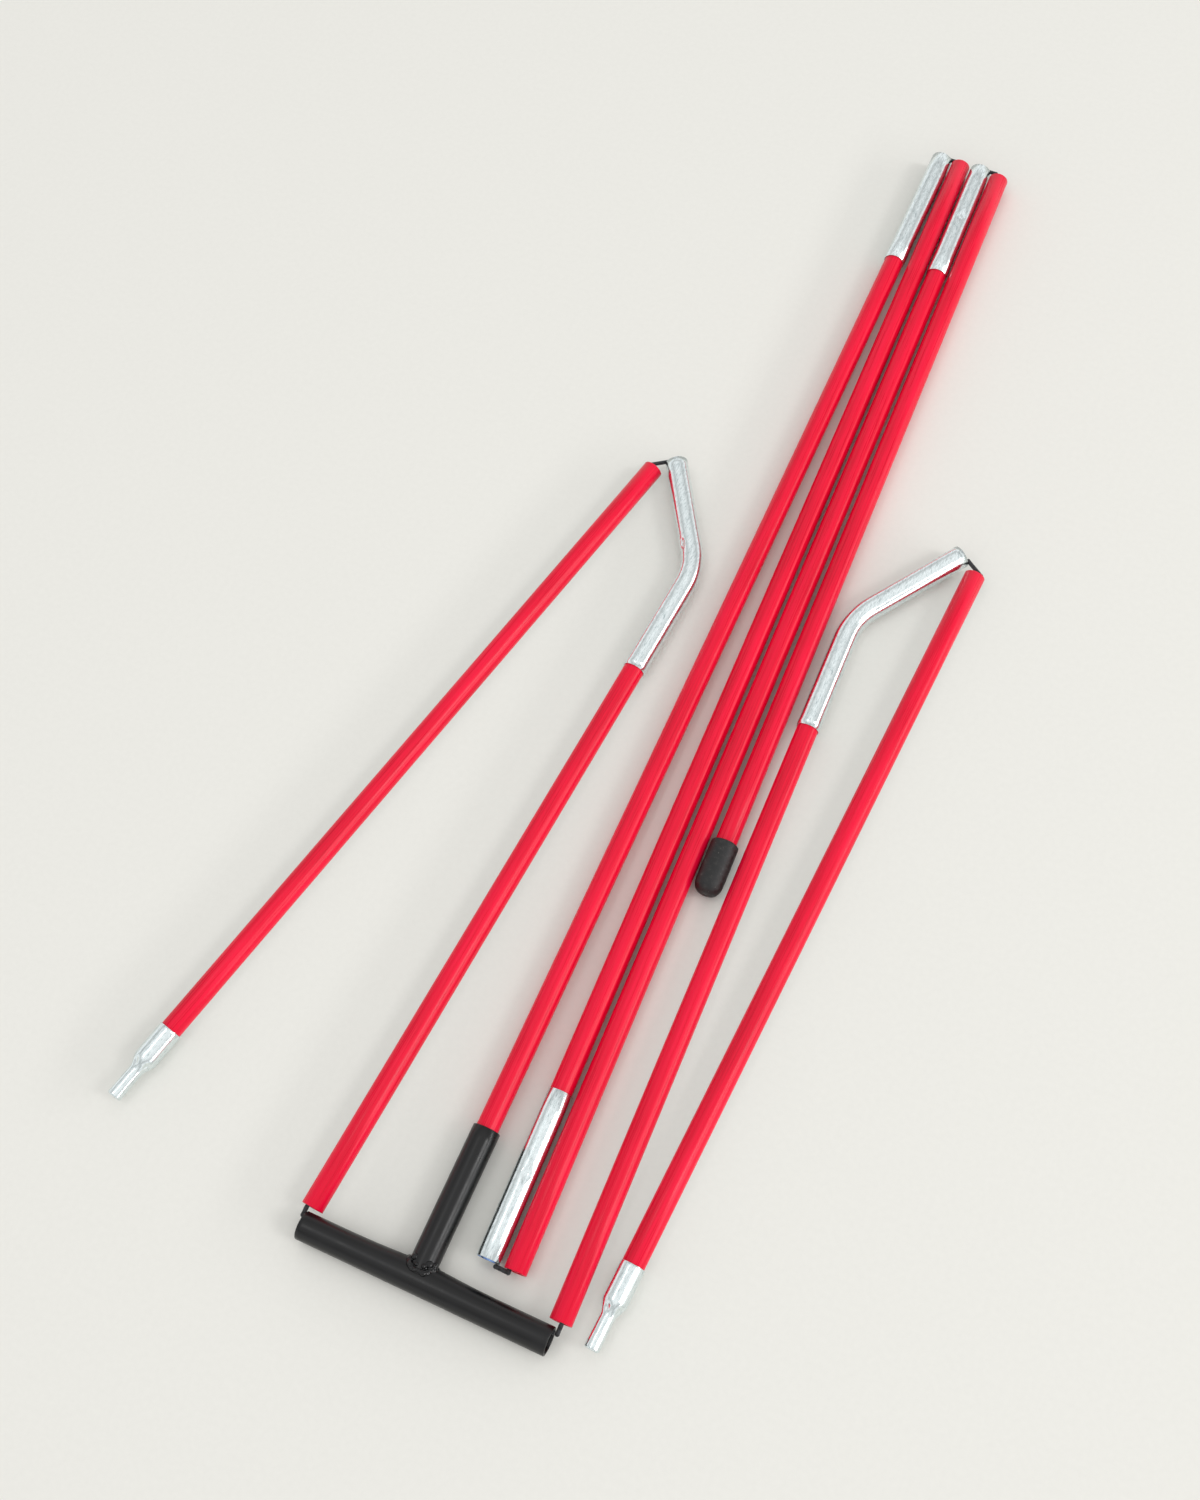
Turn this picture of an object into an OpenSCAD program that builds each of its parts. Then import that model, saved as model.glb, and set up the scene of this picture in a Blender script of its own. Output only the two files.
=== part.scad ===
// Shock-corded sectional pole frame, folded: a welded tee, eight hollow pole sections, ferrules, elbows, leg tips and an end cap.
// Every section's axis lies in one plane. The centre of the tee is at x = 0, y = 0 before the layout shift.
// Three sections come out of the stem in a zig-zag fold, and a fourth carries the cap.
// An arm section stands at each mouth of the tee, and a leg section is folded back from each elbow.

/* [Pole sections] */
// Outer diameter of every pole section
tube_od = 12.7; // [10:0.1:20]
// Bore of every pole section
tube_id = 9.5; // [5:0.1:16]
// Length of each of the three ridge sections that carry a ferrule
section_len = 734; // [400:1:1000]
// Length of the last ridge section, under the cap
ridge_end_len = 539; // [250:1:900]
// Length of each leg section
leg_len = 474; // [250:1:800]
// Length of each arm section, between the tee and an elbow
arm_len = 424; // [250:1:800]

/* [Ferrules and elbows] */
// Wall of each ferrule, elbow and tip sleeve
ferrule_wall = 0.6; // [0.4:0.05:2]
// Gap on the radius between a section and the bore that it slides into
fit_gap = 0.08; // [0.04:0.01:0.1]
// Length of each ferrule
ferrule_len = 95; // [50:1:150]
// Half the width of the stop at the middle of a ferrule
stop_half = 3; // [2:0.1:6]
// How far the stop stands into the bore
stop_in = 1.3; // [0.6:0.1:2.5]
// Length of each leg of an elbow, from its mouth to the crossing of the two axes
elbow_leg = 79; // [60:1:140]
// Angle that an elbow turns through
elbow_bend = 36; // [20:1:60]
// Radius of the bend of an elbow
elbow_r = 44; // [25:1:90]

/* [Tee] */
// Wall of the tee's tubes
tee_wall = 1.42; // [1:0.02:3]
// Distance from the middle of the tee to each mouth
tee_half = 73.2; // [62:0.1:120]
// Distance of the stem from the middle of the cross tube, mm
stem_off = 3.9; // [0:0.1:10]
// Distance from the middle of the tee to the mouth of the stem
stem_len = 85; // [64:0.5:120]
// How far a section goes into the tee
tee_seat = 60; // [30:1:62]
// Size of the weld around the foot of the stem
weld = 2.6; // [1:0.1:4]

/* [Leg tips] */
// Length of the sleeve that holds the leg section
tip_sleeve = 20; // [12:0.5:40]
// Length of the taper from the sleeve to the pin
tip_taper = 9; // [5:0.5:20]
// Length of the pin
tip_pin = 18.5; // [8:0.5:40]
// Diameter of the pin
tip_pin_d = 8.6; // [6:0.1:12]
// Bore of the pin
tip_bore = 5; // [2:0.1:6]

/* [End cap] */
// Rubber around the section, inside the cap
cap_wall = 2.05; // [1:0.05:3]
// Overall length of the cap
cap_len = 33; // [20:0.5:60]
// How far the section goes into the cap
cap_in = 20; // [10:0.5:40]

/* [Elastic cord] */
// Diameter of the elastic cord
cord_d = 2.5; // [1.5:0.1:4]
// Diameter of the knot at each end of a cord
knot_d = 7.2; // [4:0.1:9]
// Diameter of the washer that a knot bears on
washer_d = 8.8; // [5:0.1:9.4]
// Thickness of the washer
washer_t = 1; // [0.5:0.1:2]

/* [Fold] */
// Clear distance from a mouth to the section that is about to enter it
mouth_gap = 4.5; // [2:0.1:12]
// The same distance at the low end of the second ridge section, where the fold has to clear the ferrule
low_gap = 22; // [8:0.5:30]
// Lean of the second ridge section away from the first, degrees
lean_d = 1.22; // [0.5:0.01:4]
// Lean of the third ridge section away from the first, degrees
lean_e = 1.32; // [0.5:0.01:4]
// Lean of the last ridge section away from the first, degrees
lean_f = 1.53; // [0.5:0.01:4]
// Lean of the left arm section, degrees
lean_b = 4.74; // [1:0.01:15]
// Lean of the right arm section, degrees
lean_g = 0.92; // [0:0.01:5]
// Lean of the left leg section, degrees
lean_a = 13.3; // [5:0.1:25]
// Lean of the right leg section, degrees
lean_h = 3.5; // [1:0.1:15]

/* [Hidden] */
$fn = 64;
seam = 0.05;                                   // face gap between two lengths of cord
bore = tube_od + 2 * fit_gap;
ferrule_od = bore + 2 * ferrule_wall;
tee_od = bore + 2 * tee_wall;
cap_od = tube_od + 2 * cap_wall;
half = ferrule_len / 2;
stop_clear = 0.2;
seat = half - stop_half - stop_clear;          // how far a section goes into a ferrule
tangent = elbow_r * tan(elbow_bend / 2);
elbow_seat = elbow_leg - tangent - 1.5;        // a section stops just short of the bend
z0 = cap_od / 2;                               // height of the plane of the axes
shift = [34.6468, -402.4250];                        // brings the middle of the box to x = 0, y = 0

function dir(a) = [cos(a), sin(a)];
function along(p, a, l) = p + dir(a) * l;

// near ends and directions of the sections, each from the mouth before it
c_dir = 90;
tee_left = stem_off - tee_half;                // ends of the cross tube, from the stem
tee_right = stem_off + tee_half;
c_at = [0, stem_len - tee_seat];
c_mouth = along(c_at, c_dir, section_len + stop_half + stop_clear + half);
d_dir = 270 + lean_d;
d_at = c_mouth + [1.085 * tube_od, -0.1 * tube_od];
d_mouth = along(d_at, d_dir, section_len + stop_half + stop_clear + half);
e_dir = 90 + lean_e;
e_at = d_mouth + [1.22 * tube_od, 0];
e_mouth = along(e_at, e_dir, section_len + stop_half + stop_clear + half);
f_dir = 270 + lean_f;
f_at = e_mouth + [1.09 * tube_od, -0.25 * tube_od];
b_dir = 90 - lean_b;
b_at = [tee_left + 0.07 * tube_od, 0.8 * tube_od];
g_dir = 90 + lean_g;
f_low = along(f_at, f_dir, ridge_end_len);
// the right arm lies beside the cap of the last ridge section, so it moves out with a thicker tube
g_at = [f_low[0] + 1.4216 * tube_od + (f_low[1] - 0.84 * tube_od) * tan(lean_g), 0.84 * tube_od];
left_in = along(b_at, b_dir, arm_len - elbow_seat);
left_turn = along(left_in, b_dir, elbow_leg);
left_dir = b_dir + elbow_bend;
left_mouth = along(left_turn, left_dir, elbow_leg);
right_in = along(g_at, g_dir, arm_len - elbow_seat);
right_turn = along(right_in, g_dir, elbow_leg);
right_dir = g_dir - elbow_bend;
right_mouth = along(right_turn, right_dir, elbow_leg);
a_dir = 270 - lean_a;
a_at = left_mouth + [-0.95 * tube_od, -0.75 * tube_od];
h_dir = 270 - lean_h;
h_at = right_mouth + [0.95 * tube_od, -0.8 * tube_od];

zinc = [0.74, 0.78, 0.83];
red = [0.86, 0.09, 0.2];
black = [0.07, 0.07, 0.08];
cord_colour = [0.12, 0.12, 0.13];

// places its children with their Z axis along the direction a, at the point p
module lay(p, a) {
  translate([p[0] + shift[0], p[1] + shift[1], z0]) rotate([0, 0, a]) rotate([0, 90, 0]) children();
}

module pipe(l, od, id) {
  difference() {
    cylinder(h = l, d = od);
    translate([0, 0, -1]) cylinder(h = l + 2, d = id);
  }
}

// a punched stop: a round dent outside, a bump inside, on the upper side, at height z
stop_c = (pow(stop_half, 2) - pow(stop_in, 2)) / (2 * stop_in);
module stop_ball(r, z) {
  translate([-(bore / 2 + stop_c), 0, z]) sphere(r = r);
}

module stopped_pipe(l, z) {
  difference() {
    pipe(l, ferrule_od, bore);
    stop_ball(stop_c + stop_in - ferrule_wall, z);
  }
  intersection() {
    cylinder(h = l, d = ferrule_od - 0.02);
    difference() {
      stop_ball(stop_c + stop_in, z);
      stop_ball(stop_c + stop_in - ferrule_wall, z);
    }
  }
}

module pole(p, a, l) {
  color(red) lay(p, a) pipe(l, tube_od, tube_id);
}

module ferrule(p, a) {
  color(zinc) lay(along(p, a, section_len - seat), a) stopped_pipe(ferrule_len, half);
}

// an elbow from its lower mouth: straight, bend, straight; side is 1 for a turn to the left
module elbow(p, a, side) {
  straight = elbow_leg - tangent;
  color(zinc) lay(p, a) {
    pipe(straight + 0.3, ferrule_od, bore);
    translate([0, side * elbow_r, straight]) rotate([90, 0, -90 * side])
      rotate_extrude(angle = elbow_bend) translate([elbow_r, 0]) ring();
    translate([0, side * elbow_r * (1 - cos(elbow_bend)), straight + elbow_r * sin(elbow_bend)])
      rotate([-side * elbow_bend, 0, 0]) translate([0, 0, -0.3]) pipe(straight + 0.3, ferrule_od, bore);
  }
}

// the bend's wall, a little thicker than the straight legs, so that the three lengths make one piece
module ring() {
  difference() {
    circle(d = ferrule_od + 0.06);
    circle(d = bore - 0.06);
  }
}

module tip(p, a, l) {
  r1 = ferrule_od / 2;
  r2 = tip_pin_d / 2;
  rb = bore / 2;
  top = tip_sleeve + tip_taper;
  full = top + tip_pin;
  color(zinc) lay(along(p, a, l - tip_sleeve), a) rotate_extrude() polygon([
    [rb, 0], [r1, 0], [r1, tip_sleeve], [r2, top], [r2, full - 1.5], [r2 - 1.2, full],
    [tip_bore / 2, full], [tip_bore / 2, top], [rb - 1.2, tip_sleeve + 0.2], [rb, tip_sleeve + 0.2]]);
}

// a straight length of cord from s to t along a section
module cord(p, a, s, t) {
  color(cord_colour) lay(along(p, a, s), a) cylinder(h = t - s, d = cord_d, $fn = 24);
}

module knot(p, a, s) {
  color(cord_colour) lay(along(p, a, s), a) sphere(d = knot_d, $fn = 32);
}

module washer(p, a, s) {
  color(zinc) lay(along(p, a, s), a) pipe(washer_t, washer_d, cord_d + 0.4);
}

// a length of cord through the points q, with a round knuckle at each point but the last
module strand(q) {
  color(cord_colour) for (i = [0 : len(q) - 2]) {
    step = q[i + 1] - q[i];
    lay(q[i], atan2(step[1], step[0])) {
      cylinder(h = norm(step), d = cord_d, $fn = 24);
      sphere(d = cord_d * 1.08, $fn = 24);
    }
  }
}

// where the cord comes out of a mouth and goes into the next section; side is 1 where that section is to the left
// out is how far past the mouth the middle of the crossing cord lies
cord_in = 6;
knuckle = cord_d * 0.54 + seam;
function side_dir(a, side) = dir(a + 90 * side);
function off_mouth(m, a, side, q, out) = along(m, a, out) + side_dir(a, side) * q;

// deep is how far inside the mouth the free length of cord starts
module lead(m, a, side, q, out, deep) {
  color(cord_colour) lay(off_mouth(m, a, side, q, -deep), a)
    cylinder(h = deep + out - knuckle, d = cord_d, $fn = 24);
}

// the cord through the bend of an elbow
module bend_cord(p, a, side) {
  color(cord_colour) lay(p, a) translate([0, side * elbow_r, elbow_leg - tangent]) rotate([90, 0, -90 * side])
    rotate_extrude(angle = elbow_bend) translate([elbow_r, 0]) circle(d = cord_d, $fn = 24);
}

module turn(m, ma, mside, mq, mout, p, pa, pside, pq, pout) {
  strand([off_mouth(m, ma, mside, mq, mout), off_mouth(p, pa, pside, pq, -pout),
    off_mouth(p, pa, pside, pq, cord_in)]);
}

mq = bore / 2 - cord_d / 2 - 0.3;
pq = tube_id / 2 - cord_d / 2 - 0.3;
rim = knuckle + 0.25;
arm_out = 2;
right_out = max(arm_out, g_at[0] - tee_right - pq);   // the cord runs out until it is under the right arm
ridge_deep = half + stop_half + stop_clear - seam;
elbow_deep = elbow_seat + 1.5 - seam;
tee_deep = tee_seat - seam;

module tee_fitting() {
  color(black) difference() {
    union() {
      lay([tee_left, 0], 0) cylinder(h = 2 * tee_half, d = tee_od);
      lay([0, 0], 90) cylinder(h = stem_len, d = tee_od);
    }
    lay([tee_left - 1, 0], 0) cylinder(h = 2 * tee_half + 2, d = bore);
    lay([0, tee_od / 2], 90) cylinder(h = stem_len, d = bore);
  }
}

// a bead in the corner between the stem and the cross tube; its underside is cut short, clear of the floor
weld_back = 1.5;
module tee_weld() {
  color(black) difference() {
    intersection() {
      lay([0, 0], 90) cylinder(h = 3 * tee_od, d = tee_od + 2 * weld + 0.6);
      lay([-tee_od, 0], 0) cylinder(h = 2 * tee_od, d = tee_od + 2 * weld);
    }
    lay([0, -1], 90) cylinder(h = stem_len, d = tee_od);
    lay([tee_left, 0], 0) cylinder(h = 2 * tee_half, d = tee_od);
    lay([0, weld_back - 3 * tee_od], 90) cylinder(h = 3 * tee_od, d = 4 * tee_od);
    translate([shift[0] - 2 * tee_od, shift[1] - 2 * tee_od, z0 - tee_od / 2 - 10 + 1.3])
      cube([4 * tee_od, 4 * tee_od, 10]);
  }
}

module end_cap() {
  r = cap_od / 2;
  color(black) lay(along(f_at, f_dir, ridge_end_len - cap_in), f_dir) difference() {
    union() {
      cylinder(h = cap_len - r * 0.5, r = r);
      translate([0, 0, cap_len - r * 0.5]) intersection() {
        cylinder(h = r, r = r);
        translate([0, 0, -r * 0.75]) sphere(r = r * 1.25);
      }
    }
    translate([0, 0, -1]) cylinder(h = cap_in + 1, d = tube_od);
  }
}

module ridge_tube_1() { pole(c_at, c_dir, section_len); }
module ridge_tube_2() { pole(d_at, d_dir, section_len); }
module ridge_tube_3() { pole(e_at, e_dir, section_len); }
module ridge_tube_4() { pole(f_at, f_dir, ridge_end_len); }
module ferrule_1() { ferrule(c_at, c_dir); }
module ferrule_2() { ferrule(d_at, d_dir); }
module ferrule_3() { ferrule(e_at, e_dir); }
module arm_tube_left() { pole(b_at, b_dir, arm_len); }
module arm_tube_right() { pole(g_at, g_dir, arm_len); }
module elbow_left() { elbow(left_in, b_dir, 1); }
module elbow_right() { elbow(right_in, g_dir, -1); }
module leg_tube_left() { pole(a_at, a_dir, leg_len); }
module leg_tube_right() { pole(h_at, h_dir, leg_len); }
module leg_tip_left() { tip(a_at, a_dir, leg_len); }
module leg_tip_right() { tip(h_at, h_dir, leg_len); }

// the cord inside each section; it starts past the turn into that section
run_in = cord_in + seam;
knot_back = 8 + knot_d / 2 + washer_t + 0.1;
module cord_ridge_1() { cord(c_at, c_dir, knot_back + 0.05, section_len); }
module cord_ridge_2() { cord(d_at, d_dir, run_in, section_len); }
module cord_ridge_3() { cord(e_at, e_dir, run_in, section_len); }
module cord_ridge_4() { cord(f_at, f_dir, run_in, ridge_end_len - knot_back - 0.05); }
module cord_tee() { cord([tee_left, 0], 0, tee_seat, 2 * tee_half - tee_seat); }
module cord_arm_left() { cord(b_at, b_dir, run_in, arm_len + 1.5 - seam); }
module cord_arm_right() { cord(g_at, g_dir, run_in, arm_len + 1.5 - seam); }
module cord_elbow_left() { bend_cord(left_in, b_dir, 1); }
module cord_elbow_right() { bend_cord(right_in, g_dir, -1); }
module cord_leg_left() { cord(a_at, a_dir, run_in, leg_len - knot_back - 0.05); }
module cord_leg_right() { cord(h_at, h_dir, run_in, leg_len - knot_back - 0.05); }

module cord_lead_2() { lead(c_mouth, c_dir, -1, mq, rim, ridge_deep); }
module cord_turn_2() { turn(c_mouth, c_dir, -1, mq, rim, d_at, d_dir, -1, pq, rim + 0.1 * tube_od); }
module cord_lead_3() { lead(d_mouth, d_dir, 1, mq, rim, ridge_deep); }
module cord_turn_3() { turn(d_mouth, d_dir, 1, mq, rim, e_at, e_dir, 1, pq, rim); }
module cord_lead_4() { lead(e_mouth, e_dir, -1, mq, rim, ridge_deep); }
module cord_turn_4() { turn(e_mouth, e_dir, -1, mq, rim, f_at, f_dir, -1, pq, rim + 0.25 * tube_od); }
module cord_lead_arm_left() { lead([tee_left, 0], 180, -1, mq, arm_out, tee_deep); }
module cord_turn_arm_left() {
  turn([tee_left, 0], 180, -1, mq, arm_out, b_at, b_dir, 1, arm_out + 0.07 * tube_od, rim);
}
module cord_lead_arm_right() { lead([tee_right, 0], 0, 1, mq, right_out, tee_deep); }
module cord_turn_arm_right() {
  turn([tee_right, 0], 0, 1, mq, right_out, g_at, g_dir, 1, g_at[0] - tee_right - right_out, rim);
}
module cord_lead_leg_left() { lead(left_mouth, left_dir, 1, mq, rim, elbow_deep); }
module cord_turn_leg_left() { turn(left_mouth, left_dir, 1, mq, rim, a_at, a_dir, -1, pq, rim); }
module cord_lead_leg_right() { lead(right_mouth, right_dir, -1, mq, rim, elbow_deep); }
module cord_turn_leg_right() { turn(right_mouth, right_dir, -1, mq, rim, h_at, h_dir, 1, pq, rim); }

// knots and washers at the cord ends
module knot_ridge_start() { knot(c_at, c_dir, 8); }
module washer_ridge_start() { washer(c_at, c_dir, 8 + knot_d / 2 + 0.05); }
module knot_cap() { knot(f_at, f_dir, ridge_end_len - 8); }
module washer_cap() { washer(f_at, f_dir, ridge_end_len - 8 - knot_d / 2 - washer_t - 0.05); }
module knot_leg_left() { knot(a_at, a_dir, leg_len - 8); }
module washer_leg_left() { washer(a_at, a_dir, leg_len - 8 - knot_d / 2 - washer_t - 0.05); }
module knot_leg_right() { knot(h_at, h_dir, leg_len - 8); }
module washer_leg_right() { washer(h_at, h_dir, leg_len - 8 - knot_d / 2 - washer_t - 0.05); }

tee_fitting();
tee_weld();
ridge_tube_1();
ridge_tube_2();
ridge_tube_3();
ridge_tube_4();
ferrule_1();
ferrule_2();
ferrule_3();
end_cap();
arm_tube_left();
arm_tube_right();
elbow_left();
elbow_right();
leg_tube_left();
leg_tube_right();
leg_tip_left();
leg_tip_right();
cord_ridge_1();
cord_ridge_2();
cord_ridge_3();
cord_ridge_4();
cord_tee();
cord_arm_left();
cord_arm_right();
cord_elbow_left();
cord_elbow_right();
cord_leg_left();
cord_leg_right();
cord_lead_2();
cord_turn_2();
cord_lead_3();
cord_turn_3();
cord_lead_4();
cord_turn_4();
cord_lead_arm_left();
cord_turn_arm_left();
cord_lead_arm_right();
cord_turn_arm_right();
cord_lead_leg_left();
cord_turn_leg_left();
cord_lead_leg_right();
cord_turn_leg_right();
knot_ridge_start();
knot_cap();
knot_leg_left();
knot_leg_right();
washer_ridge_start();
washer_cap();
washer_leg_left();
washer_leg_right();
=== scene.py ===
# %% [markdown]
# # A folded set of shock-corded poles
# The set lies on a pale table: eight red glass-fibre sections, zinc-plated ferrules and elbows, two swaged
# leg tips, a painted steel tee and a rubber cap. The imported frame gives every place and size, and this script
# gives each piece its finish. The frame is loaded first, so that nothing has to be fitted afterwards.

# %% Load the frame
import bpy, bmesh, math, random
import numpy as np
from mathutils import Matrix, Vector, noise


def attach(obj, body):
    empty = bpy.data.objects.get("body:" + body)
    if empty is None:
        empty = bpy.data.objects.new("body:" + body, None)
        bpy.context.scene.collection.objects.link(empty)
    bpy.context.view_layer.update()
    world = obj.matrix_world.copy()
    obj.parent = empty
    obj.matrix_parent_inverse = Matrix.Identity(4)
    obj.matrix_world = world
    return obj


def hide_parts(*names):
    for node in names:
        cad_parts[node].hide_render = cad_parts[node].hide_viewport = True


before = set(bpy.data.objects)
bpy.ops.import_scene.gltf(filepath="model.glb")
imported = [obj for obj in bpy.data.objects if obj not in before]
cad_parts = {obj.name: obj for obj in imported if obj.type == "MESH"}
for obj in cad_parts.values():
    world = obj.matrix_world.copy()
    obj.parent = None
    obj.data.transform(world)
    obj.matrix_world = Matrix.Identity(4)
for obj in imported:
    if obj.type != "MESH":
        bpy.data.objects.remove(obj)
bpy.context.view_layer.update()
MM = 0.001
print("frame loaded:", len(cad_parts), "nodes")

# %% [markdown]
# ## Where each section lies
# A section is a straight tube, so its two end rings are enough to give its axis. Taking the axis from the
# frame's own mesh keeps each new piece exactly on the tube that it belongs to. The direction runs from the
# end that enters the mouth before it to the end that carries a ferrule, an elbow, a tip or the cap.

# %% Axes of the sections
SECTIONS = {"ridge_tube_1": 1, "ridge_tube_2": -1, "ridge_tube_3": 1, "ridge_tube_4": -1, "arm_tube_left": 1,
            "arm_tube_right": 1, "leg_tube_left": -1, "leg_tube_right": -1}


def section_axis(node, way):
    points = np.array([v.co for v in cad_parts[node].data.vertices])
    middle = (points.min(0) + points.max(0)) / 2
    direction = np.linalg.svd(points - points.mean(0), full_matrices=False)[2][0]
    direction *= math.copysign(1, direction[1]) * way
    reach = (points - middle) @ direction
    return Vector(middle + direction * reach.min()), Vector(direction).normalized(), float(np.ptp(reach))


axes = {node: section_axis(node, way) for node, way in SECTIONS.items()}
for node, (start, direction, length) in axes.items():
    print(node, "length %.1f mm" % (length / MM))


# %% [markdown]
# ## Turning round pieces
# Tubes, ferrules and tips are round stock, so each is an outline spun about its own axis, as on a lathe. The
# piece is made along its own Z and then laid in place, so a pattern that follows Z follows the tube. A dent
# function can push the wall in where a real piece was punched or swaged.

# %% The lathe
def lay(start, direction):
    up = Vector((0, 0, 1))
    side = direction.cross(up).normalized()
    m = Matrix((up, side, direction)).transposed().to_4x4()
    m.translation = start
    return m


def steps(a, b, gap):
    return list(np.linspace(a, b, max(2, int(abs(b - a) / gap) + 1)))


def join_rings(bm, rings):
    """Joins each ring of points to the next one, and the last to the first, into a closed skin."""
    count = len(rings[0])
    for a, b in zip(rings, rings[1:] + rings[:1]):
        for k in range(count):
            n = (k + 1) % count
            bm.faces.new((a[k], a[n], b[n], b[k]))


def angle_from(angle, turn):
    """The angle measured from turn, from minus half a turn to plus half a turn."""
    return (angle - turn + math.pi) % (2 * math.pi) - math.pi


def turned(name, outline, sides=72, dent=None):
    """outline is a closed loop of (radius, z) in mm; dent(angle, z, radius) gives a new radius."""
    bm = bmesh.new()
    rings = []
    for r, z in outline:
        ring = []
        for k in range(sides):
            a = 2 * math.pi * k / sides
            rr = dent(a, z, r) if dent else r
            ring.append(bm.verts.new((rr * math.cos(a) * MM, rr * math.sin(a) * MM, z * MM)))
        rings.append(ring)
    join_rings(bm, rings)
    return as_object(name, bm)


def as_object(name, bm):
    bmesh.ops.recalc_face_normals(bm, faces=bm.faces)
    mesh = bpy.data.meshes.new(name)
    bm.to_mesh(mesh)
    bm.free()
    piece = bpy.data.objects.new(name, mesh)
    bpy.context.scene.collection.objects.link(piece)
    if hasattr(mesh, "shade_auto_smooth"):
        mesh.shade_auto_smooth(angle=math.radians(40))
    else:
        mesh.shade_smooth()
    return piece


def fit(piece, matrix, body, node, finish):
    """Lays a piece in place, lets it ride on its body and hides the plain node that it stands for."""
    piece.matrix_world = matrix
    piece.data.materials.append(finish)
    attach(piece, body)
    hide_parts(*([node] if isinstance(node, str) else node))
    return piece


# %% [markdown]
# ## Finishes
# Each finish starts from what the real one is. One small function adds a node with its settings and its
# links, and another turns an sRGB hex value to the linear colour that the shader works in.

# %% Helpers for finishes
def colour(hex_value):
    parts = [int(hex_value[i:i + 2], 16) / 255 for i in (1, 3, 5)]
    return tuple(c / 12.92 if c <= 0.04045 else ((c + 0.055) / 1.055) ** 2.4 for c in parts) + (1.0,)


def add(tree, kind, inputs=None, **settings):
    node = tree.nodes.new(kind)
    for key, value in settings.items():
        setattr(node, key, value)
    for key, value in (inputs or {}).items():
        if isinstance(value, bpy.types.NodeSocket):
            tree.links.new(value, node.inputs[key])
        else:
            node.inputs[key].default_value = value
    return node


def new_finish(name, **shader):
    finish = bpy.data.materials.new(name)
    finish.use_nodes = True
    tree = finish.node_tree
    tree.nodes.clear()
    surface = add(tree, "ShaderNodeBsdfPrincipled", shader)
    add(tree, "ShaderNodeOutputMaterial", {"Surface": surface.outputs["BSDF"]})
    return finish, tree, surface


def stretched(tree, scale):
    """Coordinates along the piece itself, in metres, stretched by a scale for each axis."""
    place = add(tree, "ShaderNodeTexCoord")
    mapping = add(tree, "ShaderNodeMapping", {"Vector": place.outputs["Object"], "Scale": scale})
    return mapping.outputs["Vector"]


def noise_pattern(tree, scale, detail, **more):
    """Cloudy noise, with scale as the number of cells in a metre along each axis."""
    inputs = {"Vector": stretched(tree, scale), "Scale": 1.0, "Detail": detail, **more}
    return add(tree, "ShaderNodeTexNoise", inputs)


def ramp(tree, factor, stops):
    node = add(tree, "ShaderNodeValToRGB", {"Fac": factor})
    marks = node.color_ramp.elements
    while len(marks) < len(stops):
        marks.new(0.5)
    for mark, (place, value) in zip(marks, stops):
        mark.position = place
        mark.color = colour(value) if isinstance(value, str) else (value, value, value, 1)
    return node.outputs["Color"]


def bump(tree, surface, height, depth, strength=1.0, after=None):
    inputs = {"Height": height, "Distance": depth, "Strength": strength}
    if after:
        inputs["Normal"] = after
    node = add(tree, "ShaderNodeBump", inputs)
    tree.links.new(node.outputs["Normal"], surface.inputs["Normal"])
    return node.outputs["Normal"]


# %% [markdown]
# ### Red glass-fibre tube
# The sections are pultruded: glass fibre and polyester resin drawn through a hot die. The die leaves a satin
# skin with faint lines along the tube, and the fibres show as a slight mottle 45 to 70 mm long. The colour is
# in the resin, so it is the same in a cut end. The gloss is that of a plastic, with an IOR of 1.55, turned
# down to about half so that the red stays deep.

# %% Red tube
def red_tube():
    finish, tree, surface = new_finish("pultruded_red_fibreglass", IOR=1.55, Roughness=0.36)
    surface.inputs["Specular IOR Level"].default_value = 0.24
    fibres = noise_pattern(tree, (900, 900, 22), 4.0, Roughness=0.6)
    patches = noise_pattern(tree, (120, 120, 14), 3.0)
    both = add(tree, "ShaderNodeMath", {0: fibres.outputs["Fac"], 1: patches.outputs["Fac"]}, operation="ADD")
    half = add(tree, "ShaderNodeMath", {0: both.outputs[0], 1: 0.5}, operation="MULTIPLY")
    tree.links.new(ramp(tree, half.outputs[0], [(0.36, "#D2002A"), (0.5, "#E60031"), (0.64, "#F2043A")]),
                   surface.inputs["Base Color"])
    tree.links.new(ramp(tree, fibres.outputs["Fac"], [(0.3, 0.24), (0.7, 0.36)]), surface.inputs["Roughness"])
    bump(tree, surface, fibres.outputs["Fac"], 0.00006, 0.5)
    return finish


# %% [markdown]
# ### Bright zinc plate
# The ferrules, elbows and tips are steel tube, plated with bright zinc and passivated clear, which gives a
# bluish white. Zinc grows as fine crystals, so the light breaks into small bright and dark flecks, and the
# drawing of the tube leaves lines along it. The flecks are drawn 0.7 mm wide and 2 mm long, so that they
# show.

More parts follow.
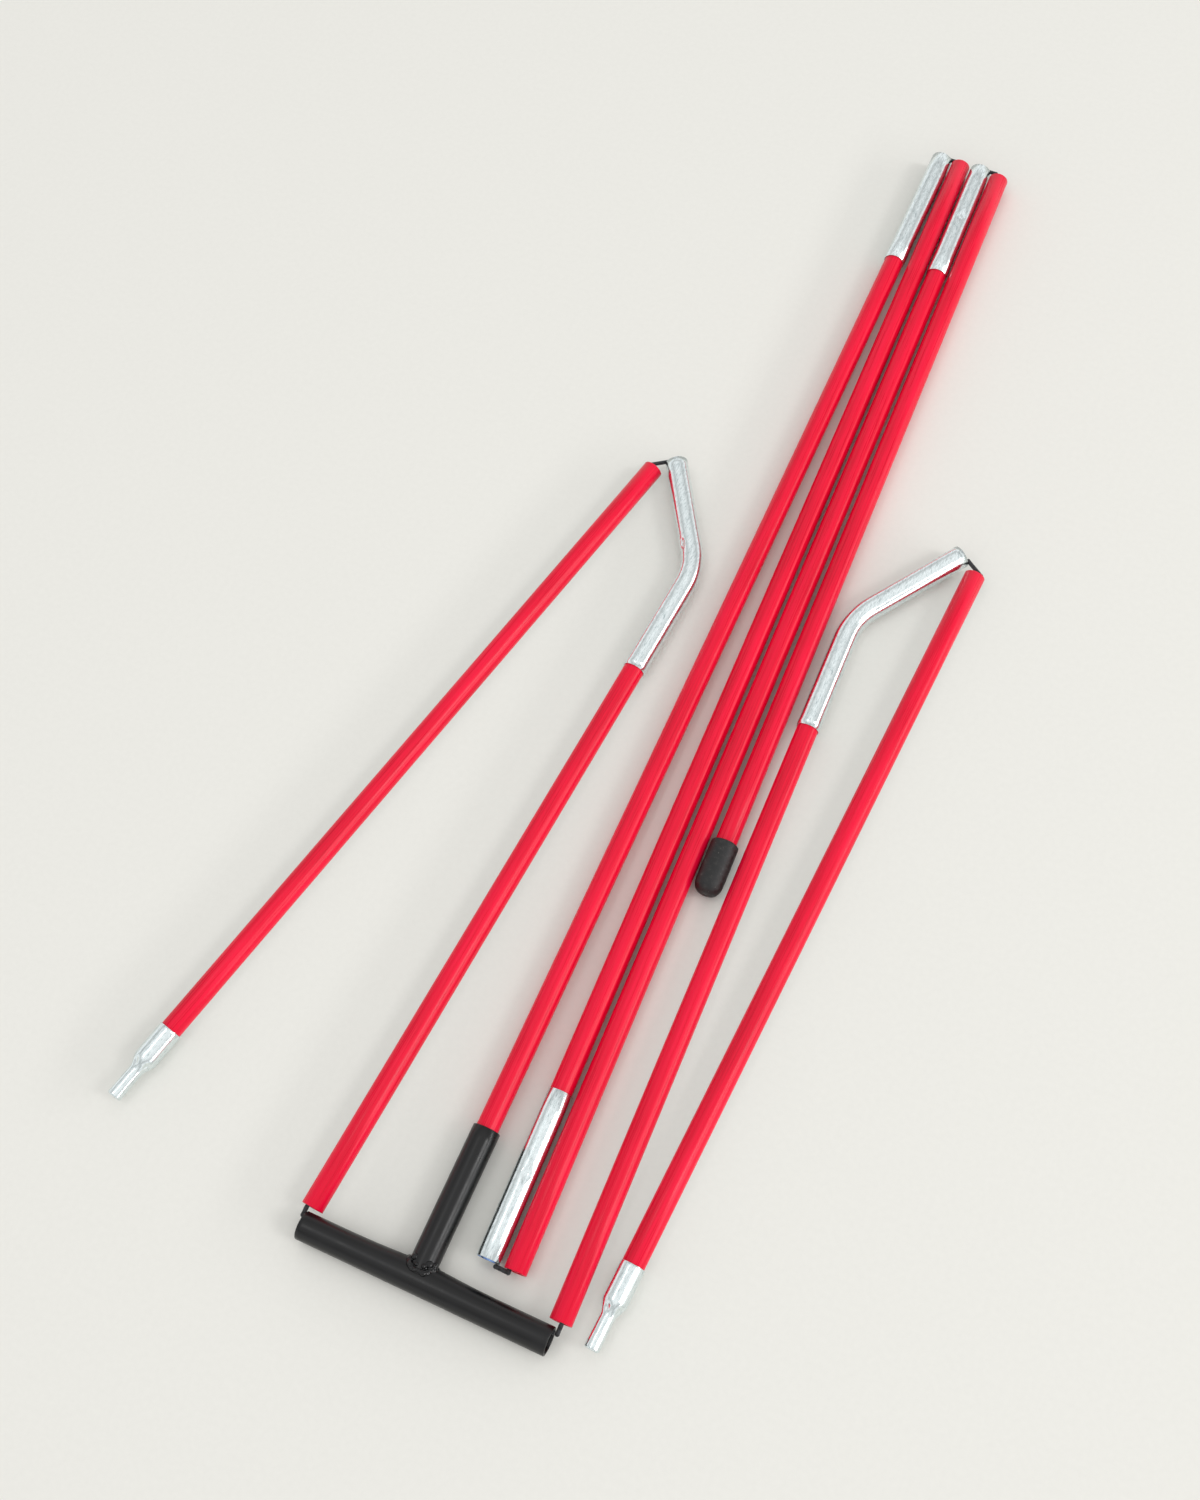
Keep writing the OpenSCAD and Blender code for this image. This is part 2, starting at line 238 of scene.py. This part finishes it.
# %% Zinc
def zinc_plate(name, bright="#EFF7F8", middle="#DCE6E7", dull="#A3B1B4"):
    finish, tree, surface = new_finish(name, Metallic=1.0, Roughness=0.22)
    flecks = add(tree, "ShaderNodeTexVoronoi",
                 {"Vector": stretched(tree, (1500, 1500, 520)), "Scale": 1.0}, feature="SMOOTH_F1")
    clouds = noise_pattern(tree, (1100, 1100, 300), 6.0, Roughness=0.7)
    lines = noise_pattern(tree, (2400, 2400, 30), 3.0)
    tree.links.new(ramp(tree, clouds.outputs["Fac"], [(0.30, dull), (0.43, middle), (0.62, bright)]),
                   surface.inputs["Base Color"])
    tree.links.new(ramp(tree, clouds.outputs["Fac"], [(0.3, 0.30), (0.6, 0.13)]), surface.inputs["Roughness"])
    first = bump(tree, surface, clouds.outputs["Fac"], 0.00008, 0.22)
    second = bump(tree, surface, flecks.outputs["Distance"], 0.00006, 0.30, first)
    bump(tree, surface, lines.outputs["Fac"], 0.00003, 0.35, second)
    return finish


# %% [markdown]
# ### Black paint on steel
# The tee is sprayed with a semi-gloss black enamel. The film levels out, so the highlights are long and
# soft, with a very slight orange-peel ripple 2 mm across. Fingers and packing rub it to an uneven sheen.

# %% Paint
def black_enamel(name, ripple=0.00004, rough=(0.24, 0.40)):
    finish, tree, surface = new_finish(name, IOR=1.5)
    surface.inputs["Specular IOR Level"].default_value = 0.4
    peel = noise_pattern(tree, (480, 480, 480), 2.0)
    rubs = noise_pattern(tree, (60, 60, 60), 5.0)
    tree.links.new(ramp(tree, rubs.outputs["Fac"], [(0.35, "#070708"), (0.7, "#0E0E10")]),
                   surface.inputs["Base Color"])
    tree.links.new(ramp(tree, rubs.outputs["Fac"], [(0.3, rough[0]), (0.7, rough[1])]),
                   surface.inputs["Roughness"])
    bump(tree, surface, peel.outputs["Fac"], ripple, 0.6)
    return finish


# %% [markdown]
# ### Worn black rubber
# The cap is moulded rubber. It meets the ground, so its skin is scuffed: the scuffs are paler and rougher,
# and there are small nicks. Rubber has a low, broad gloss.

# %% Rubber
def worn_rubber():
    finish, tree, surface = new_finish("moulded_black_rubber", IOR=1.5)
    scuffs = noise_pattern(tree, (260, 260, 420), 8.0, Roughness=0.72)
    nicks = add(tree, "ShaderNodeTexVoronoi", {"Vector": stretched(tree, (420, 420, 260)), "Scale": 1.0})
    chips = ramp(tree, nicks.outputs["Distance"], [(0.05, 1.0), (0.13, 0.0)])
    rubbed = ramp(tree, scuffs.outputs["Fac"], [(0.48, "#101011"), (0.62, "#2A2928"), (0.74, "#5A5754")])
    mixed = add(tree, "ShaderNodeMix", {"Factor": chips, 6: rubbed, 7: colour("#55524E")}, data_type="RGBA")
    tree.links.new(mixed.outputs[2], surface.inputs["Base Color"])
    tree.links.new(ramp(tree, scuffs.outputs["Fac"], [(0.35, 0.36), (0.65, 0.7)]),
                   surface.inputs["Roughness"])
    bump(tree, surface, scuffs.outputs["Fac"], 0.0005, 0.6)
    return finish


# %% [markdown]
# ### Elastic cord
# Shock cord is a bundle of rubber strands in a braided polyester sheath. The braid is drawn as two sets of
# slanting ridges about 2 mm apart, which is what the eye picks out at this size. The colour follows the same
# ridges, darker in the grooves between them, as painted shade.

# %% Cord
def braided_cord():
    finish, tree, surface = new_finish("braided_elastic_cord", IOR=1.5, Roughness=0.72)
    surface.inputs["Sheen Weight"].default_value = 0.25
    heights = []
    for way in (1, -1):
        spread = stretched(tree, (1000 * way, 1000, 1000))
        strands = add(tree, "ShaderNodeTexWave", {"Vector": spread, "Scale": 0.16, "Distortion": 0.6},
                      bands_direction="DIAGONAL")
        heights.append(strands.outputs["Fac"])
    braid = add(tree, "ShaderNodeMath", {0: heights[0], 1: heights[1]}, operation="MAXIMUM")
    # painted shade: darker in the grooves of the braid, lighter on the ridges
    tree.links.new(ramp(tree, braid.outputs[0], [(0.2, "#0A0A0B"), (0.9, "#2B2B2E")]),
                   surface.inputs["Base Color"])
    bump(tree, surface, braid.outputs[0], 0.0002, 0.7)
    return finish


red = red_tube()
zinc = zinc_plate("bright_zinc_plate")
# a darker, bluer zinc for the ferrule bores: bluish passivation tint with painted shade
zinc_with_painted_shade_inside = zinc_plate("zinc_with_painted_shade_in_a_mouth", bright="#A9C4F0", middle="#6F97DC", dull="#3F68B8")
enamel = black_enamel("black_enamel")
weld_enamel = black_enamel("black_enamel_on_weld", ripple=0.0002, rough=(0.10, 0.22))
rubber = worn_rubber()
cord = braided_cord()
print("finishes:", [m.name for m in bpy.data.materials])

# %% [markdown]
# ## The red sections
# Each section is a plain tube, sawn to length. The saw leaves a small chamfer, which catches the light as a
# thin pale ring. The tube is turned as one closed outline: outside, end, bore, end.

# %% Sections
TUBE_R, TUBE_BORE, EDGE = 6.35, 4.75, 0.25
BODY = {node: node.replace("_tube", "") for node in SECTIONS}


def tube_outline(length, outer, bore, edge=EDGE):
    rows = steps(edge, length - edge, 60)
    out = [(bore + edge / 2, 0), (outer - edge, 0)] + [(outer, z) for z in rows] + [(outer - edge, length)]
    return out + [(bore + edge / 2, length)] + [(bore, z) for z in reversed(rows)]


for node, (start, direction, length) in axes.items():
    piece = turned(node + "_finish", tube_outline(length / MM, TUBE_R, TUBE_BORE))
    fit(piece, lay(start, direction), BODY[node], node, red)
    piece.visible_diffuse = node.startswith("ridge")  # a lone tube would cast a red glow on the table
print("sections:", len(axes))

# %% [markdown]
# ## Ferrules
# A ferrule is a short sleeve that stays on the end of one section and takes the end of the next. A punch
# in its middle raises a bump inside, which stops both tubes. From outside that is a leaf-shaped dent about
# 6 by 12 mm with a small nub where the punch's point went in. The wall is turned with close rings around
# the middle, and the dent is pushed into it.

# %% Ferrules
SLEEVE_R, SLEEVE_BORE, FERRULE_LEN, STOP_GAP = 7.03, 6.43, 95.0, 3.2
FERRULE_SEAT = FERRULE_LEN / 2 - STOP_GAP


def punched(middle, turn, long=6.4, wide=3.1, deep=0.95, nub=0.45):
    """A leaf-shaped dent at height middle (mm), turned about the axis by an angle."""
    def dent(angle, z, r):
        if r < SLEEVE_BORE - 0.5 or abs(z - middle) > long * 1.3:
            return r
        off = angle_from(angle, turn)
        s = off * r
        t = (abs(z - middle) / long) ** 1.25 + (abs(s) / wide) ** 1.25
        depth = deep * max(0.0, 1 - t) ** 0.75
        point = nub * math.exp(-((z - middle) ** 2 + s ** 2) / 0.8)
        return r - depth + point if t < 1 else r
    return dent


def sleeve_outline(length, outer, bore, close):
    """A sleeve with its rings set close around one height (mm), where a dent goes."""
    edge = 0.15
    rows = [edge] + steps(edge, close - 8, 12)[1:] + steps(close - 8, close + 8, 0.4)[1:]
    rows += steps(close + 8, length - edge, 12)[1:]
    out = [(bore + edge, 0), (outer - edge, 0)] + [(outer, z) for z in rows] + [(outer - edge, length)]
    return out + [(bore + edge, length)] + [(bore, z) for z in reversed(rows)]


def tint_and_shade_inside(piece, radius):
    """The bores of a plated mouth take a darker, bluer zinc: the blue is the bluish tint of the passivation,
    and the darkness is painted shade, standing in for a bore that mirrors only its own wall.
    """
    piece.data.materials.append(zinc_with_painted_shade_inside)
    for face in piece.data.polygons:
        c = sum((piece.data.vertices[i].co for i in face.vertices), Vector()) / len(face.vertices)
        outward = Vector((c.x, c.y, 0))
        if face.normal.dot(outward) < -0.3 * outward.length and outward.length < radius * MM:
            face.material_index = 1


for number, turn in ((1, 3.0), (2, -0.28), (3, 0.16)):
    start, direction, length = axes["ridge_tube_%d" % number]
    outline = sleeve_outline(FERRULE_LEN, SLEEVE_R, SLEEVE_BORE, FERRULE_LEN / 2)
    piece = turned("ferrule_%d_finish" % number, outline, 112, punched(FERRULE_LEN / 2, turn))
    place = start + direction * (length - FERRULE_SEAT * MM)
    fit(piece, lay(place, direction), "ridge_%d" % number, "ferrule_%d" % number, zinc)
    tint_and_shade_inside(piece, SLEEVE_BORE + 0.1)
print("ferrule length %.1f mm" % FERRULE_LEN)

# %% [markdown]
# ## Elbows
# An elbow is the same plated tube, bent cold through 36 degrees. A cold bend squeezes the tube: the outside
# of the bend flattens a little and the inside thickens. So the tube is swept along its centre line, ring by
# ring, with each ring slightly oval in the bend. The left elbow also has a punched stop at the bend.

# %% Elbows
ELBOW_LEG, ELBOW_BEND, ELBOW_R = 79.0, math.radians(36), 44.0
TANGENT = ELBOW_R * math.tan(ELBOW_BEND / 2)
ELBOW_SEAT = ELBOW_LEG - TANGENT - 1.5
STOP_TURN = math.radians(-48)  # on the upper side, towards the inside of the bend


def elbow_path(side):
    """Points and directions (mm) in the elbow's own plane: Z along the section, Y towards the side."""
    straight, path = ELBOW_LEG - TANGENT, []
    for z in steps(0, straight, 4):
        path.append(((0, z), 0.0))
    for a in steps(0, ELBOW_BEND, 0.03)[1:]:
        path.append(((side * ELBOW_R * (1 - math.cos(a)), straight + ELBOW_R * math.sin(a)), a))
    y, z = path[-1][0]
    for s in steps(0, 16, 0.8)[1:] + steps(16, straight, 4)[1:]:
        path.append(((y + side * s * math.sin(ELBOW_BEND), z + s * math.cos(ELBOW_BEND)), ELBOW_BEND))
    return path


def swept_elbow(name, side, sides=96):
    bm = bmesh.new()
    path = elbow_path(side)
    count = len(path)
    loops = [(SLEEVE_R, i) for i in range(count)] + [(SLEEVE_BORE, i) for i in reversed(range(count))]
    rings = []
    gone = [0.0]
    for (p, _), (q, _) in zip(path, path[1:]):
        gone.append(gone[-1] + math.dist(p, q))
    stop_at = gone[-1] - (ELBOW_LEG - TANGENT) + 2.0
    for radius, i in loops:
        (y, z), a = path[i]
        squeeze = math.exp(-((a - ELBOW_BEND / 2) / 0.2) ** 2) if 0 < a < ELBOW_BEND else 0
        ring = []
        for k in range(sides):
            t = 2 * math.pi * k / sides
            r = radius
            if side < 0:
                away = angle_from(t, STOP_TURN) * SLEEVE_R
                r -= 0.9 * math.exp(-((gone[i] - stop_at) / 3.4) ** 2 - (away / 1.7) ** 2)
            up, out = r * math.cos(t), r * math.sin(t)
            out *= 1 - 0.035 * squeeze
            across, along = y + out * math.cos(a), z - out * side * math.sin(a)
            ring.append(bm.verts.new((up * MM, across * MM, along * MM)))
        rings.append(ring)
    join_rings(bm, rings)
    return as_object(name, bm)


# in a laid piece +Y is the right-hand side of its direction, so a turn to the left is a side of -1
for hand, side in (("left", -1), ("right", 1)):
    start, direction, length = axes["arm_tube_" + hand]
    piece = swept_elbow("elbow_%s_finish" % hand, side)
    place = start + direction * (length - ELBOW_SEAT * MM)
    fit(piece, lay(place, direction), "arm_" + hand, "elbow_" + hand, zinc)
print("elbow seat %.1f mm" % ELBOW_SEAT)

# %% [markdown]
# ## Leg tips
# A tip is plated tube with one end swaged down to a pin. Swaging leaves a shoulder, a short hollow taper
# with three pressed dents, and a pin with a slightly rolled end. The pin sits in an eyelet of the canopy.

# %% Leg tips
TIP_SLEEVE, TIP_TAPER, TIP_PIN, PIN_R, PIN_BORE = 20.0, 9.0, 18.5, 4.3, 2.5


def tip_outline():
    top, full = TIP_SLEEVE + TIP_TAPER, TIP_SLEEVE + TIP_TAPER + TIP_PIN
    out = [(SLEEVE_BORE + 0.1, 0), (SLEEVE_R - 0.15, 0)] + [(SLEEVE_R, z) for z in steps(0.15, TIP_SLEEVE, 1)]
    for t in np.linspace(0.06, 1, 16):
        ease = t * t * (3 - 2 * t)
        out.append((SLEEVE_R + (PIN_R - 0.15 - SLEEVE_R) * ease, TIP_SLEEVE + TIP_TAPER * t))
    out += [(PIN_R - 0.15 + 0.15 * (z - top) / TIP_PIN, z) for z in steps(top + 1, full - 1.8, 2)]
    out += [(PIN_R, full - 1.5), (PIN_R - 0.2, full - 1.0)]
    out += [(PIN_R - 0.7, full - 0.6), (PIN_BORE + 0.4, full - 0.6)]
    return out + [(PIN_BORE, full - 1.0), (PIN_BORE, top), (SLEEVE_BORE - 1.2, TIP_SLEEVE + 0.2),
                  (SLEEVE_BORE, TIP_SLEEVE + 0.1)]


def tip_dents(angle, z, r):
    if r < 3.6:
        return r
    for turn, above, deep in ((0.35, 4.6, 1.15), (-1.0, 3.6, 0.7), (math.pi, 4.6, 1.0)):
        middle = TIP_SLEEVE + above
        off = angle_from(angle, turn) * r
        r -= deep * math.exp(-(off / 1.9) ** 2 - ((z - middle) / 2.4) ** 2)
    return r


for hand in ("left", "right"):
    start, direction, length = axes["leg_tube_" + hand]
    piece = turned("leg_tip_%s_finish" % hand, tip_outline(), 96, tip_dents)
    place = start + direction * (length - TIP_SLEEVE * MM)
    fit(piece, lay(place, direction), "leg_" + hand, "leg_tip_" + hand, zinc)
print("tips: 2")

# %% [markdown]
# ## The rubber cap
# The cap is moulded, with a rounded end and a soft lip where the section goes in. It is turned like the
# tubes, and the wear that makes it look used is in the wall as well as in the finish: low lumps and a
# chewed rim.

# %% Cap
CAP_R, CAP_LEN, CAP_IN = 8.4, 33.0, 20.0


def cap_outline():
    out = [(TUBE_R + 0.05, 0.3), (TUBE_R + 0.6, 0), (CAP_R - 0.8, 0), (CAP_R - 0.2, 0.5)]
    out += [(CAP_R - 0.05, z) for z in steps(1.4, CAP_LEN - 8.0, 1.2)]
    for a in np.linspace(0.1, math.pi / 2, 16):
        out.append(((CAP_R - 0.05) * math.cos(a) ** 0.62, CAP_LEN - 8.0 + 8.0 * math.sin(a)))
    out[-1] = (0.05, CAP_LEN)
    return out + [(0.05, CAP_IN + 0.1), (TUBE_R + 0.05, CAP_IN)]


def cap_wear(angle, z, r):
    if r < 6.6:
        return r
    p = Vector((math.cos(angle) * 2.2, math.sin(angle) * 2.2, z * 0.23))
    rim = 0.32 * max(0, noise.noise(p * 2.3)) * math.exp(-(z / 2.2) ** 2)
    return min(r, r - 0.10 - 0.16 * noise.noise(p) - rim)


start, direction, length = axes["ridge_tube_4"]
cap = turned("end_cap_finish", cap_outline(), 96, cap_wear)
place = start + direction * (length - CAP_IN * MM)
fit(cap, lay(place, direction), "ridge_4", "end_cap", rubber)
print("cap length %.1f mm" % CAP_LEN)

# %% [markdown]
# ## The tee
# Two steel tubes are welded into a tee, with the stem coped to sit on the cross tube, and painted. The
# stem stands 4 mm off the middle. The weld's heat swells the cross tube a little towards the stem, so its
# points on that side are eased outwards there, and the far side stays straight.

# %% Tee tubes
TEE_R, TEE_BORE, TEE_HALF, STEM_LEN, STEM_OFF = 7.85, 6.43, 73.2, 85.0, 3.9
first_start, stem_way, _ = axes["ridge_tube_1"]
STEM_SEAT = 60.0
centre = first_start - stem_way * (STEM_LEN - STEM_SEAT) * MM
cross_way = Vector((1, 0, 0))


def swollen_cross():
    rows = steps(0.3, 2 * TEE_HALF - 0.3, 2)
    outline = [(TEE_BORE + 0.2, 0), (TEE_R - 0.3, 0)] + [(TEE_R, z) for z in rows]
    outline += [(TEE_R - 0.3, 2 * TEE_HALF), (TEE_BORE + 0.2, 2 * TEE_HALF)]
    outline += [(TEE_BORE, z) for z in reversed(rows)]
    piece = turned("tee_cross", outline, 96)
    for v in piece.data.vertices:
        near = math.exp(-((v.co.z / MM - TEE_HALF + STEM_OFF) / 24) ** 2)
        if v.co.y < 0:
            v.co.y *= 1 + 0.17 * near
    return piece


cross = swollen_cross()
stem_outline = [(0.5, 4.5), (TEE_R, 2.0)] + [(TEE_R, z) for z in steps(3, STEM_LEN - 0.3, 6)]
stem_outline += [(TEE_R - 0.3, STEM_LEN), (TEE_BORE + 0.2, STEM_LEN), (TEE_BORE, STEM_LEN - 0.3)]
stem_outline += [(TEE_BORE, 9), (0.5, 9)]
stem = turned("tee_stem", stem_outline, 96)
left_mouth = centre + cross_way * (STEM_OFF - TEE_HALF) * MM
fit(cross, lay(left_mouth, cross_way), "tee", "tee_fitting", enamel)
stem.matrix_world = lay(centre, stem_way)
stem.data.materials.append(enamel)
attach(stem, "tee")
print("tee: cross %.1f mm, stem %.1f mm" % (2 * TEE_HALF, STEM_LEN))

# %% [markdown]
# ## The weld
# A welder lays the bead as a row of overlapping drops along the corner between the two tubes. The paint
# pools between them and shines. The drops are small spheres along the corner's own curve, grown together
# by a voxel remesh and smoothed, which gives the ripples of a real bead. A fixed seed keeps it the same.

# %% Weld bead
WELD_SEED, DROPS = 7, 46
# the larger lumps where the welder stopped: x, y, z and radius in mm
LUMPS = ((-4.6, 9.6, 5.9, 2.1), (-6.2, 8.2, 4.2, 2.0), (4.4, 8.9, 6.3, 2.2), (6.6, 9.4, 3.8, 2.0),
         (2.2, 6.9, 7.6, 1.4), (-1.8, 6.4, 7.6, 1.2))


def drop(bm, spot, radius):
    matrix = Matrix.Translation(spot)
    bmesh.ops.create_icosphere(bm, subdivisions=2, radius=radius * MM, matrix=matrix)


def weld_bead():
    rng = random.Random(WELD_SEED)
    bm = bmesh.new()
    for step in range(DROPS):
        t = math.radians(-32 + 244 * step / (DROPS - 1))
        x, z = TEE_R * math.cos(t), TEE_R * math.sin(t)
        y = max(abs(x), 3.6)
        heavy = 1.0 if abs(math.cos(t)) > 0.35 else 0.62
        size = heavy * rng.uniform(1.5, 2.15)
        spot = Vector((x * 1.03, y + rng.uniform(-0.3, 0.5), min(z * 1.03, TEE_R + 0.5))) * MM
        drop(bm, spot, size)
    for x, y, z, size in LUMPS:
        drop(bm, Vector((x, y, z)) * MM, size)
    piece = as_object("tee_weld_finish", bm)
    skin = piece.modifiers.new("grow", "REMESH")
    skin.mode, skin.voxel_size, skin.use_smooth_shade = "VOXEL", 0.32 * MM, True
    soft = piece.modifiers.new("soften", "SMOOTH")
    soft.factor, soft.iterations = 0.5, 3
    done = bpy.data.meshes.new_from_object(piece.evaluated_get(bpy.context.evaluated_depsgraph_get()))
    piece.modifiers.clear()
    piece.data = done
    return piece


weld = weld_bead()
fit(weld, Matrix.Translation(centre), "tee", "tee_weld", weld_enamel)
print("weld points:", len(weld.data.vertices))

# %% [markdown]
# ## Cord, knots and washers
# The cord runs inside the sections and shows only as a dark strand where two ends touch. These nodes keep the
# shape that they have in the frame and take the braided finish, and the washers take zinc.

# %% Cord and washers
for name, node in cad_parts.items():
    if name.startswith(("cord_", "knot_", "washer_")):
        node.data.materials.clear()
        node.data.materials.append(zinc if name.startswith("washer_") else cord)
        node.data.shade_smooth()
print("cords, knots and washers finished")

# %% [markdown]
# ## The table
# A pale board, matt, with a very faint warm tone. It is wide enough that no edge shows from the camera below.
# From low down its edge does show.

# %% Table
def matt_board():
    finish, tree, surface = new_finish("pale_matt_board", Roughness=0.9)
    grain = noise_pattern(tree, (300, 300, 300), 3.0)
    tree.links.new(ramp(tree, grain.outputs["Fac"], [(0.3, "#E7E6E0"), (0.7, "#E9E8E2")]),
                   surface.inputs["Base Color"])
    surface.inputs["Specular IOR Level"].default_value = 0.1
    return finish


bm = bmesh.new()
bmesh.ops.create_grid(bm, x_segments=2, y_segments=2, size=8.0)
table = as_object("table", bm)
table.data.materials.append(matt_board())
print("table: %.0f m across" % table.dimensions.x)

# %% [markdown]
# ## Light
# Zinc shows whatever is around it, so the room matters as much as the lamps. The sky is a white studio that
# grows a little dimmer towards the ceiling. The key light stands on the right and gives the faint shadows
# and the line down the zinc and the black stem. A low strip on the right draws the soft edge of each red
# section, and a narrow one overhead draws the line along the tee.

# %% Lights
sky = bpy.data.worlds.new("studio_sky")
sky.use_nodes = True
tree = sky.node_tree
view_way = add(tree, "ShaderNodeTexCoord").outputs["Generated"]
height = add(tree, "ShaderNodeSeparateXYZ", {"Vector": view_way}).outputs["Z"]
room = ramp(tree, height, [(0.0, 1.0), (0.30, 0.92), (0.55, 0.55), (0.72, 0.80), (0.90, 1.0)])
tree.links.new(room, tree.nodes["Background"].inputs["Color"])
tree.nodes["Background"].inputs["Strength"].default_value = 1.0
bpy.context.scene.world = sky


def lamp_at(name, kind, place, aim, power, **settings):
    lamp = bpy.data.lights.new(name, kind)
    lamp.energy = power
    for key, value in settings.items():
        setattr(lamp, key, value)
    holder = bpy.data.objects.new(name, lamp)
    holder.location = place
    holder.rotation_euler = (Vector(aim) - Vector(place)).to_track_quat("-Z", "Y").to_euler()
    bpy.context.scene.collection.objects.link(holder)


lamp_at("key_sun", "SUN", (2.2, 0.2, 1.8), (0, 0, 0), 0.50, angle=math.radians(15))
lamp_at("low_strip_right", "AREA", (2.6, 0.2, 0.75), (0, 0, 0), 24,
        shape="RECTANGLE", size=3.4, size_y=0.3)
lamp_at("overhead_strip", "AREA", (-0.5, -0.45, 1.9), (0.0, -0.4, 0), 1.3,
        shape="RECTANGLE", size=0.55, size_y=0.12)
print("lamps:", [lamp.name for lamp in bpy.data.lights])
bpy.context.scene.view_settings.view_transform = "Standard"

# %% [markdown]
# ## Camera
# The camera stands about a metre away and looks down steeply, 25 degrees off the vertical, turned so that
# the poles run from the lower left to the upper right. The lens is a little wider than a portrait lens.

# %% Camera
FROM_VERTICAL, HEADING, ROLL, DISTANCE, LENS = 25.18, 124.9, -11.75, 1.006, 40.8


def look_down(tilt, heading, roll, distance, aim):
    t, h = math.radians(tilt), math.radians(heading)
    forward = Vector((math.sin(t) * math.cos(h), math.sin(t) * math.sin(h), -math.cos(t)))
    right = forward.cross(Vector((0, 0, 1))).normalized()
    up = right.cross(forward)
    base = Matrix((right, up, -forward)).transposed().to_4x4()
    turned_base = base @ Matrix.Rotation(math.radians(roll), 4, "Z")
    turned_base.translation = aim - forward * distance
    return turned_base


camera = bpy.data.objects.new("camera", bpy.data.cameras.new("camera"))
camera.data.sensor_width, camera.data.lens = 36, LENS
camera.data.clip_start, camera.data.clip_end = 0.01, 50
aim = centre + Vector((-0.0357, 0.3134, 0))
camera.matrix_world = look_down(FROM_VERTICAL, HEADING, ROLL, DISTANCE, aim)
bpy.context.scene.collection.objects.link(camera)
bpy.context.scene.camera = camera
print("camera at", [round(c, 3) for c in camera.matrix_world.translation])
